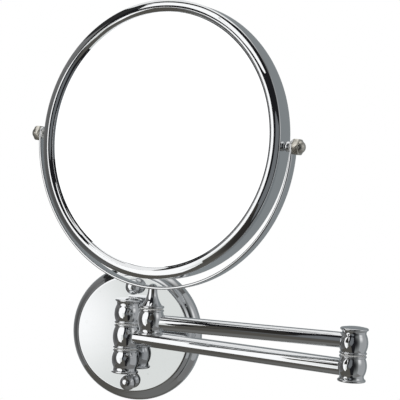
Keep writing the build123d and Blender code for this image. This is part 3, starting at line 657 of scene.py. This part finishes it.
def on_rim(face, centre_radius, centre_depth, ball, angle):
    """Point of a rim's arc, at an angle from the drum's outside towards its face."""
    return centre_radius + ball * cos(angle), face * (centre_depth + ball * sin(angle))


def rim(face):
    """Points of a rim from the wall to its crest: two arcs that meet smoothly."""
    small = (face, drum_radius - rim_round, rim_foot, rim_round)
    large = (face, rim_inside, drum_half - rim_ball, rim_ball)
    return [(drum_radius, face * rim_foot), on_rim(*small, rim_turn / 2), on_rim(*small, rim_turn),
            on_rim(*large, (rim_turn + pi / 2) / 2), (rim_inside, face * drum_half)]


front_rim, rear_rim = rim(-1), rim(1)
dress("drum_band_skin", "mirror_head", "chrome",
      [lathe(drum_place, rear_rim[0], front_rim[0], (front_rim[1], front_rim[2]), (front_rim[3], front_rim[4]),
             (rim_inside, -rim_foot), (band_inside, -rim_foot), (band_inside, rim_foot), (rim_inside, rim_foot),
             rear_rim[4], (rear_rim[3], rear_rim[2]), (rear_rim[1], rear_rim[0]), steps=drum_turn)],
      "drum_band")

# %% Bezels
bezel_play, bezel_inside = 0.04, 91.46
bezel_outside, flange_outside = rim_inside - bezel_play, band_inside - bezel_play
bezel_set_back, bezel_fall, bezel_crown = 0.1, 2.2, 0.12
bezel_crest = drum_half - bezel_set_back
bezel_lip = bezel_crest - bezel_fall
bezel_middle = ((bezel_outside + bezel_inside) / 2 - bezel_crown, bezel_crest - bezel_fall / 2 + bezel_crown)
skirt_inside, skirt_wall = 93.6, 1.2
skirt_outside, skirt_end = skirt_inside + skirt_wall, glass_front - curved_glass
flange_back = bezel_foot - bezel_flange
for face, place in ((-1, "front"), (1, "rear")):
    bezel_shell = lathe(
        drum_place, (bezel_outside, face * bezel_foot), (bezel_outside, face * bezel_crest),
        ((bezel_middle[0], face * bezel_middle[1]), (bezel_inside, face * bezel_lip)),
        (bezel_inside, face * glass_front), (skirt_inside, face * glass_front),
        (skirt_inside, face * skirt_end), (skirt_outside, face * skirt_end),
        (skirt_outside, face * flange_back), (flange_outside, face * flange_back),
        (flange_outside, face * bezel_foot), (bezel_outside, face * bezel_foot), steps=drum_turn)
    dress(f"{place}_bezel_skin", "mirror_head", "chrome", [bezel_shell], f"{place}_bezel")

# %% Glasses
plain_face, plain_back = -stack / 2, plain_glass - stack / 2
dress("plain_mirror_skin", "mirror_head", "mirror",
      [lathe(drum_place, (0, plain_face), (glass_radius, plain_face), (glass_radius, plain_back),
             (0, plain_back), steps=wide_turn)], "plain_mirror")
curved_back, curved_front = stack / 2, stack / 2 - curved_glass
half_glass, half_hollow = glass_radius / 2, hollow_ball - sqrt(hollow_ball**2 - glass_radius**2 / 4)
dress("magnifying_mirror_skin", "mirror_head", "mirror",
      [lathe(drum_place, (0, curved_back - hollow),
             ((half_glass, curved_back - hollow + half_hollow), (glass_radius, curved_back)),
             (glass_radius, curved_front),
             ((half_glass, curved_front - hollow + half_hollow), (0, curved_front - hollow)),
             steps=wide_turn)], "magnifying_mirror")

# %% [markdown]
# ## Pivots
#
# On each side a stud comes through the drum. A collar keeps the yoke off the drum, and a cap nut closes the
# outside. The collar is turned to a bead. The nut starts as a six-sided cone of equal ends, its outer
# corners are bevelled as a nut's are, and a turned dome sits on it as a second shell.

# %% Collars and cap nuts
collar_inside, collar_lip, collar_radius = 2.54, 3.0, 3.8
collar_start, collar_end = 100.05, 104.83
nut_start, hex_height, nut_flats = 107.55, 4.4, 10.6
nut_corner, nut_chamfer, nut_edge_round = nut_flats / sqrt(3), 1.1, 0.2
hex_middle, hex_end = nut_start + hex_height / 2, nut_start + hex_height
dome_radius, dome_rise, dome_step = 4.4, 3.2, 0.3
dome_start = hex_end + dome_step
for side, place in ((-1, "left"), (1, "right")):
    pivot_place = standing(mirror_spot, mirror_side * side, mirror_up)
    collar_shell = lathe(
        pivot_place, (collar_inside, collar_start), (collar_lip, collar_start),
        ((collar_radius, (collar_start + collar_end) / 2), (collar_lip, collar_end)),
        (collar_inside, collar_end), (collar_inside, collar_start), steps=small_turn)
    dress(f"pivot_collar_{place}_skin", "mirror_head", "chrome", [collar_shell], f"pivot_collar_{place}")

    hexagon = bmesh.new()
    bmesh.ops.create_cone(hexagon, cap_ends=True, segments=6, radius1=nut_corner, radius2=nut_corner,
                          depth=hex_height, matrix=Matrix.Translation((0, 0, hex_middle)))
    outer_corners = [vert for vert in hexagon.verts if vert.co.z > hex_middle]
    bevel(hexagon, outer_corners, nut_chamfer, segments=1, affect="VERTICES")
    bevel(hexagon, hexagon.edges[:], nut_edge_round, segments=2)
    dome_shell = lathe(
        pivot_place, (0, hex_end), (dome_radius, hex_end), (dome_radius, dome_start),
        dome(dome_radius, dome_start, dome_rise), steps=small_turn)
    dress(f"cap_nut_{place}_skin", "mirror_head", "nickel", [placed(hexagon, pivot_place), dome_shell],
          f"cap_nut_{place}")

# %% [markdown]
# ## The studio
#
# Chrome shows the room, so the room is built for it. In a product studio, boards stand round the object just
# out of the picture. Here a dark wall with white windows and a dull sill stands before the object, grey
# walls, a table and a ceiling close the box, and one small window and two dark flags hang close to the drum,
# where they draw its rim. Only glossy rays see these panels, so the camera looks straight through them and
# they shade nothing. The white background comes from the world: it is full white for the rays that look at
# it or mirror it, and softer for the light that falls on dull surfaces, which a pale floor and one soft lamp
# help to lift.

# %% White world
soft_strength = 0.6


def add_looked_at(tree):
    """1 for the rays that look at a thing, mirror it or see it through glass, and 0 for the others."""
    path = tree.nodes.new("ShaderNodeLightPath")
    looked_at = add_math(tree, "ADD", path.outputs["Is Camera Ray"], path.outputs["Is Glossy Ray"], clamp=True)
    return add_math(tree, "ADD", looked_at, path.outputs["Is Transmission Ray"], clamp=True)


def blend_into(tree, output, share, first, second):
    """Mix two shaders by a share, into the surface of an output node."""
    blend = tree.nodes.new("ShaderNodeMixShader")
    tree.links.new(share, blend.inputs["Fac"])
    tree.links.new(first.outputs[0], blend.inputs[1])
    tree.links.new(second.outputs[0], blend.inputs[2])
    wire(tree, blend, "Shader", tree.nodes[output], "Surface")


world = bpy.data.worlds.new("white_studio")
bpy.context.scene.world = world
world.use_nodes = True
tree = world.node_tree
soft_light = tree.nodes["Background"]
soft_light.inputs["Color"].default_value = (1, 1, 1, 1)
soft_light.inputs["Strength"].default_value = soft_strength
seen_light = add_node(tree, "ShaderNodeBackground", Color=(1, 1, 1, 1), Strength=1.0)
blend_into(tree, "World Output", add_looked_at(tree), soft_light, seen_light)
print("world:", world.name)

# %% Panel helpers
def panel(name, corners, colour, fade=None):
    """Flat panel that only glossy rays see.

    A fade is a place, a near and a far distance from it, and the colour that is there up to the near one.
    """
    sheet = bmesh.new()
    sheet.faces.new([sheet.verts.new(corner) for corner in corners])
    mesh = bpy.data.meshes.new(name)
    sheet.to_mesh(mesh)
    sheet.free()
    material, tree, shader = fresh_material(name)
    shader.inputs["Base Color"].default_value = (0, 0, 0, 1)
    shader.inputs["Specular IOR Level"].default_value = 0.0
    shader.inputs["Emission Color"].default_value = (*colour, 1)
    shader.inputs["Emission Strength"].default_value = 1.0
    if fade:
        place, near, far, near_colour = fade
        spots = tree.nodes.new("ShaderNodeTexCoord")
        away = tree.nodes.new("ShaderNodeVectorMath")
        away.operation = "DISTANCE"
        away.inputs[1].default_value = place
        wire(tree, spots, "Object", away, 0)
        share = add_range(tree, away.outputs["Value"], near, far)
        tree.links.new(add_tint(tree, share, near_colour, colour), shader.inputs["Emission Color"])
    mesh.materials.append(material)
    flat = show(name, mesh)
    flat.visible_camera = False
    flat.visible_diffuse = False
    flat.visible_shadow = False
    flat.visible_transmission = False


def upright_panel(name, start, end, low, high, colour, fade=None):
    """Upright panel over a line on the ground plan."""
    panel(name, [(*start, low), (*end, low), (*end, high), (*start, high)], colour, fade)


def facing_panel(name, depth, outline, colour, fade=None):
    """Upright panel across the view, with an outline in X and Z."""
    panel(name, [(x, depth, z) for x, z in outline], colour, fade)


def level_panel(name, height, outline, colour, fade=None):
    """Level panel with an outline on the ground plan."""
    panel(name, [(x, y, height) for x, y in outline], colour, fade)


def oblong(left, near, right, far):
    """Outline of an oblong between two opposite corners."""
    return [(left, near), (right, near), (right, far), (left, far)]


def neutral(level):
    """Colour without a tint."""
    return level, level, level


print("panel helpers ready")

# %% Panels before the object
front, back, left_end, right_end, low, high = -0.47, 0.5, -0.8, 0.8, -0.5, 0.9
dark_end, strip_left = 0.37, -0.245
middle_layer, near_layer = front + 0.003, front + 0.006  # what lies over another panel stands a little nearer
dark, olive, pale, white = (0.014, 0.014, 0.016), (0.1, 0.095, 0.085), (0.86, 0.88, 0.86), neutral(1.2)
wedge_heart, wedge_edge = (0.17, 0.18, 0.19), neutral(0.06)
window_foot = [(left_end, 0.0), (-0.6, -0.2), (-0.45, -0.29), (-0.22, -0.29), (-0.16, -0.2)]
facing_panel("dark_front", front, oblong(left_end, low, dark_end, high), dark)
facing_panel("window", middle_layer, window_foot + [
    (-0.085, -0.02), (-0.045, 0.13), (-0.04, 0.22), (-0.07, 0.285), (-0.13, 0.335), (-0.24, 0.39),
    (-0.42, 0.415), (-0.52, 0.405), (-0.64, 0.37), (left_end, 0.36)], white)
facing_panel("sill", middle_layer, [
    (left_end, low), (0.17, low), (0.14, -0.2), (0.11, -0.04), (-0.03, -0.04), (-0.13, -0.13),
    *reversed(window_foot)], olive)
facing_panel("pale_strip", near_layer, oblong(strip_left, -0.155, -0.07, 0.02), pale,
             fade=((strip_left, front, -0.05), 0.0, 0.12, white))
facing_panel("grey_wedge", near_layer, [
    (-0.03, -0.04), (0.09, -0.1), (0.16, -0.07), (0.24, 0.05), (0.24, 0.26), (0.12, 0.29), (0.075, 0.27),
    (0.065, 0.12)], wedge_edge, fade=((0.15, front, 0.12), 0.13, 0.26, wedge_heart))
facing_panel("upper_window", middle_layer, [
    (-0.2, 0.6), (-0.16, 0.74), (-0.24, high), (left_end, high), (-0.56, 0.53), (-0.36, 0.525),
    (-0.28, 0.485), (-0.15, 0.42)], white)
print("dark wall with two windows at", front, "m")

# %% Panels close to the drum
rim_window_depth, lower_flag_depth, rim_flag_height = -0.25, -0.17, 0.33
soot, flag_heart, flag_edge = neutral(0.02), (0.03, 0.028, 0.026), (0.085, 0.08, 0.07)
facing_panel("rim_window", rim_window_depth, [
    (-0.006, 0.301), (0.023, 0.291), (0.06, 0.272), (0.085, 0.276), (0.104, 0.289), (0.062, 0.35),
    (0.025, 0.395), (-0.023, 0.446), (-0.037, 0.389)], white)
facing_panel("lower_flag", lower_flag_depth, [
    (0.03, 0.045), (0.045, 0.014), (0.06, 0.018), (0.09, 0.019), (0.115, 0.012), (0.128, 0.03),
    (0.114, 0.073), (0.11, 0.098), (0.089, 0.103), (0.082, 0.091), (0.07, 0.077), (0.056, 0.063),
    (0.039, 0.051)], flag_edge, fade=((0.11, lower_flag_depth, 0.06), 0.02, 0.07, flag_heart))
level_panel("rim_flag", rim_flag_height, [
    (0.064, -0.147), (0.023, -0.118), (-0.027, -0.103), (-0.1, -0.078), (-0.104, -0.1), (-0.035, -0.125),
    (0.009, -0.137), (0.048, -0.16)], soot)
print("window and flags at the rim ready")

# %% Walls, table and ceiling
dark_right, right_front = (0.33, -0.42), (right_end, -0.45)
right_back, left_back, left_front = (right_end, back), (left_end, back), (left_end, front)
left_split, table_end, left_cover, right_cover = 0.6, 0.3, -0.74, 0.15
front_grey, right_grey, back_grey = (0.22, 0.23, 0.23), (0.38, 0.39, 0.4), (0.25, 0.27, 0.28)
side_grey, table_grey = neutral(0.2), (0.17, 0.17, 0.165)
upright_panel("fading_front", dark_right, right_front, low, high, front_grey,
              fade=((*dark_right, 0.05), 0.0, 0.5, dark))
upright_panel("right_wall", right_front, right_back, low, high, right_grey,
              fade=((right_end, -0.24, 0.3), 0.0, 0.3, neutral(0.9)))
upright_panel("back_wall", right_back, left_back, low, high, back_grey)
upright_panel("left_wall_low", left_back, left_front, low, left_split, side_grey,
              fade=((left_end, -0.25, -0.1), 0.05, 0.75, neutral(0.09)))
upright_panel("left_wall_high", left_back, left_front, left_split, high, neutral(0.03))
level_panel("table", low, oblong(left_end, front, table_end, back), olive,
            fade=((0.15, -0.1, low), 0.2, 0.5, table_grey))
level_panel("side_floor", low, oblong(table_end, front, right_end, back), side_grey)
level_panel("ceiling_left", high, oblong(left_end, front, left_cover, back), soot)
level_panel("ceiling_right", high, oblong(right_cover, front, right_end, back), neutral(0.12),
            fade=((-0.1, 0.05, high), 0.25, 0.85, neutral(1.0)))
print("room of", right_end - left_end, "by", back - front, "by", high - low, "m")

# %% Floor
floor_height, floor_reach, floor_glow = -0.6, 1.5, 0.75
floor_sheet = bmesh.new()
bmesh.ops.create_grid(floor_sheet, x_segments=1, y_segments=1, size=floor_reach,
                      matrix=Matrix.Translation((0, 0, floor_height)))
floor_mesh = bpy.data.meshes.new("pale_floor")
floor_sheet.to_mesh(floor_mesh)
floor_sheet.free()
floor_finish, tree, paint = fresh_material("pale_floor")
paint.inputs["Base Color"].default_value = (0.9, 0.9, 0.9, 1)
paint.inputs["Roughness"].default_value = 0.9
glow = add_node(tree, "ShaderNodeEmission", Color=(1, 1, 1, 1), Strength=1.0)
glow_share = add_math(tree, "MULTIPLY", add_looked_at(tree), floor_glow)
blend_into(tree, "Material Output", glow_share, paint, glow)
floor_mesh.materials.append(floor_finish)
floor = show("pale_floor", floor_mesh)
print("floor at", floor_height, "m")

# %% Soft lamp
softbox_spot, softbox_aim = Vector((-0.475, -0.435, -0.04)), Vector((0.295, 0.955, 0))
softbox = bpy.data.lights.new("left_softbox", "AREA")
softbox.shape = "RECTANGLE"
softbox.size, softbox.size_y = 0.576, 0.92
softbox.energy = 2.0
softbox_holder = show("left_softbox", softbox)
softbox_holder.location = softbox_spot
softbox_holder.rotation_euler = softbox_aim.to_track_quat("-Z", "Y").to_euler()
softbox_holder.visible_glossy = False
print("lamp of", softbox.energy, "W ready")

# %% [markdown]
# ## The camera
#
# The picture is taken from a little to the right and almost level, with a long lens about a metre away. The
# camera was found by fitting known edges of the model to the picture, so its place and angles are plain
# numbers: a heading to the left, a slight look downwards and a small roll. A rotation matrix made of the
# right, up and backward directions is the clearest way to set it.

# %% Camera
camera_spot = Vector((0.34322, -1.03485, 0.14188))
yaw, pitch, roll = radians(16.105), radians(-1.886), radians(3.379)
forward = Vector((-sin(yaw) * cos(pitch), cos(yaw) * cos(pitch), sin(pitch)))
level_right = Vector((cos(yaw), sin(yaw), 0))
level_up = level_right.cross(forward)
right = level_right * cos(roll) + level_up * sin(roll)
top = level_up * cos(roll) - level_right * sin(roll)
lens = bpy.data.cameras.new("camera")
lens.sensor_width = 36.0
lens.lens = 126.0
camera = show("camera", lens)
camera.matrix_world = Matrix.Translation(camera_spot) @ Matrix((right, top, -forward)).transposed().to_4x4()
bpy.context.scene.camera = camera
bpy.context.scene.view_settings.view_transform = "Standard"
print("camera", round((mirror_spot - camera_spot).length, 3), "m from the mirror")
